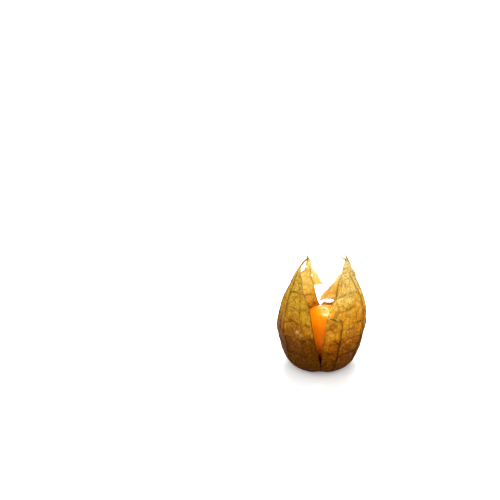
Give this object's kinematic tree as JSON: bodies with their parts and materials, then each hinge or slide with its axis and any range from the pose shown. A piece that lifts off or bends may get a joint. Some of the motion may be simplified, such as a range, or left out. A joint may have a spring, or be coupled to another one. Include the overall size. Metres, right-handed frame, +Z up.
{
  "type": "physalis berry",
  "caption": "Round smooth berry on a cut stalk, standing in its ribbed and veined papery husk, which is torn open into two pointed lobes that show the berry",
  "frame": {"origin": "In the middle of the part's width and depth, in the plane that the husk's foot stands on", "axes": "+Z up, along the standing husk. The front, where the husk is torn open and the berry shows, faces -Y. +X is to the right, seen from the front"},
  "size_m": [0.0326, 0.0275, 0.0444],
  "materials": {
    "husk_paper": "dry, matt and slightly translucent",
    "berry_skin": "smooth skin with a soft gloss",
    "stalk_wood": "dry and matt"
  },
  "bodies": {
    "root": {"husk": "husk_paper", "berry": "berry_skin", "stalk": "stalk_wood"}
  },
  "joints": []
}
